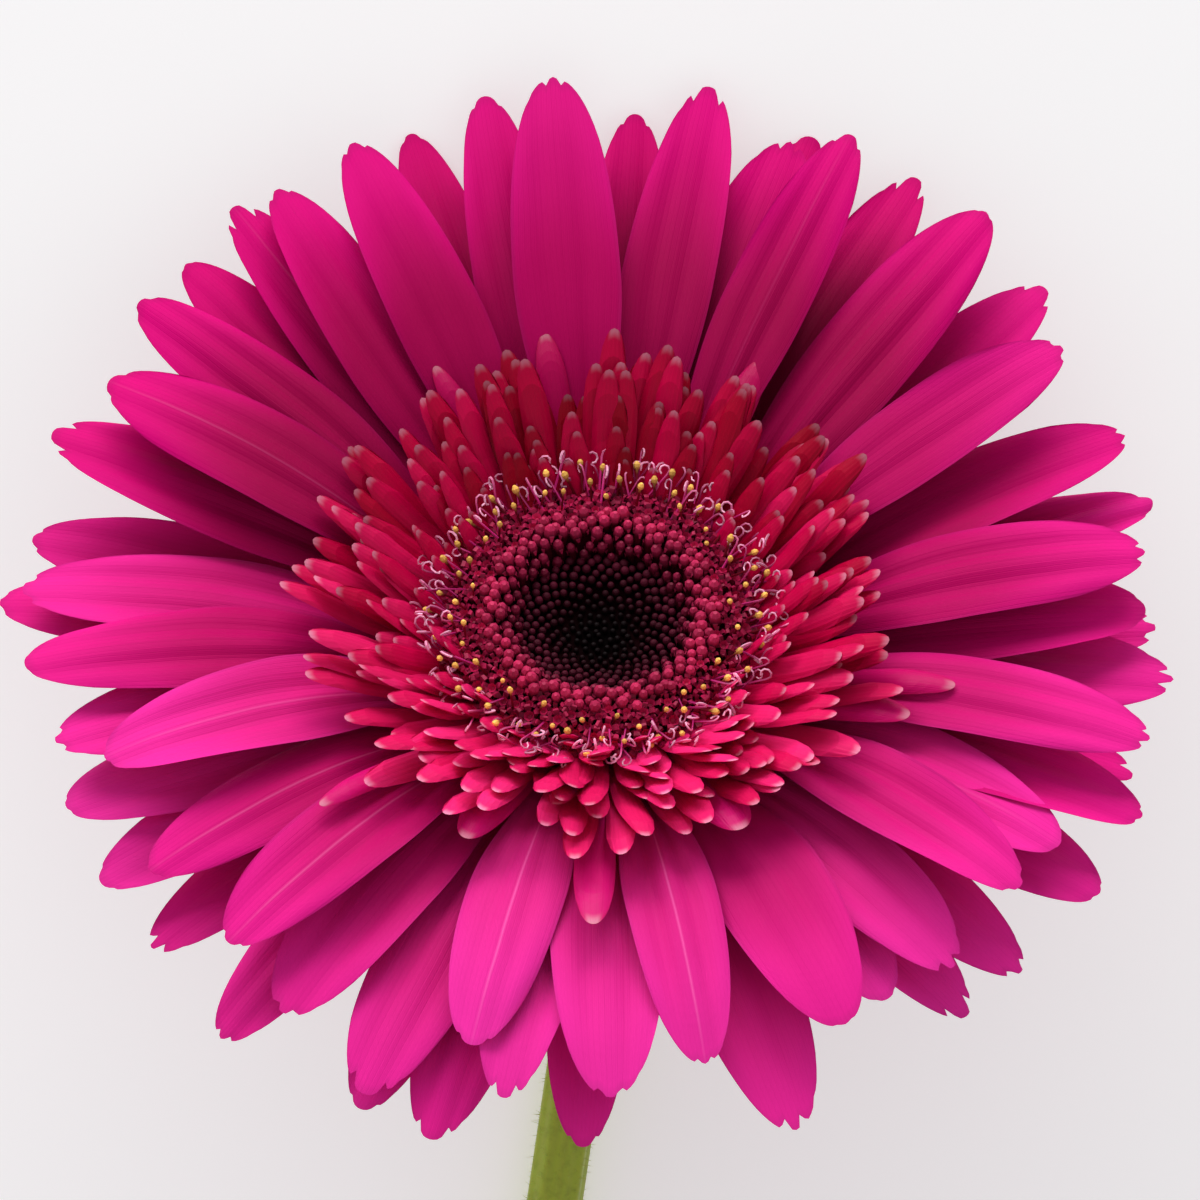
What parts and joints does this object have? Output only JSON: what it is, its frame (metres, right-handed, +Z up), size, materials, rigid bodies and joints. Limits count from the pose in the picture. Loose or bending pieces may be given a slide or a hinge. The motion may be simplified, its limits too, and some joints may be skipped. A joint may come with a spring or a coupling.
{
  "type": "cut gerbera",
  "caption": "Cut gerbera daisy lying on its stem: a double ring of long pink ray petals, a crown of short crimson florets, a dark eye and a leafless round stem.",
  "frame": {"origin": "on the surface the flower lies on, under the middle of the whole flower's bounding box", "axes": "+Z up from the surface, +Y along the stem towards the head, +X to the right seen from the cut end"},
  "size_m": [0.1102, 0.3596, 0.0645],
  "materials": {
    "ray_petal": "soft satin petal, hot pink with faint lengthwise veins",
    "trans_floret": "soft satin petal, crimson",
    "open_disc_floret": "matte, crimson with golden anthers",
    "closed_bud": "matte, nearly black maroon",
    "receptacle": "matte fresh green",
    "bract": "matte green with fine hairs",
    "stem": "satin olive green with fine hairs"
  },
  "bodies": {
    "root": {"receptacle": "receptacle", "involucre_bracts": "bract", "trans_florets_outer": "trans_floret", "trans_florets_middle": "trans_floret", "trans_florets_inner": "trans_floret", "disc_florets_open": "open_disc_floret", "disc_florets_buds": "closed_bud", "ray_petal_front_01": "ray_petal", "ray_petal_front_02": "ray_petal", "ray_petal_front_03": "ray_petal", "ray_petal_front_04": "ray_petal", "ray_petal_front_05": "ray_petal", "ray_petal_front_06": "ray_petal", "ray_petal_front_07": "ray_petal", "ray_petal_front_08": "ray_petal", "ray_petal_front_09": "ray_petal", "ray_petal_front_10": "ray_petal", "ray_petal_front_11": "ray_petal", "ray_petal_front_12": "ray_petal", "ray_petal_front_13": "ray_petal", "ray_petal_front_14": "ray_petal", "ray_petal_front_15": "ray_petal", "ray_petal_front_16": "ray_petal", "ray_petal_front_17": "ray_petal", "ray_petal_front_18": "ray_petal", "ray_petal_front_19": "ray_petal", "ray_petal_front_20": "ray_petal", "ray_petal_middle_01": "ray_petal", "ray_petal_middle_02": "ray_petal", "ray_petal_middle_03": "ray_petal", "ray_petal_middle_04": "ray_petal", "ray_petal_middle_05": "ray_petal", "ray_petal_middle_06": "ray_petal", "ray_petal_middle_07": "ray_petal", "ray_petal_middle_08": "ray_petal", "ray_petal_middle_09": "ray_petal", "ray_petal_middle_10": "ray_petal", "ray_petal_middle_11": "ray_petal", "ray_petal_middle_12": "ray_petal", "ray_petal_middle_13": "ray_petal", "ray_petal_middle_14": "ray_petal", "ray_petal_middle_15": "ray_petal", "ray_petal_middle_16": "ray_petal", "ray_petal_back_01": "ray_petal", "ray_petal_back_02": "ray_petal", "ray_petal_back_03": "ray_petal", "ray_petal_back_04": "ray_petal", "ray_petal_back_05": "ray_petal", "ray_petal_back_06": "ray_petal", "ray_petal_back_07": "ray_petal", "ray_petal_back_08": "ray_petal", "ray_petal_back_09": "ray_petal", "ray_petal_back_10": "ray_petal", "ray_petal_back_11": "ray_petal", "ray_petal_back_12": "ray_petal", "ray_petal_back_13": "ray_petal", "ray_petal_back_14": "ray_petal", "ray_petal_back_15": "ray_petal", "ray_petal_back_16": "ray_petal", "stem": "stem"}
  },
  "joints": []
}
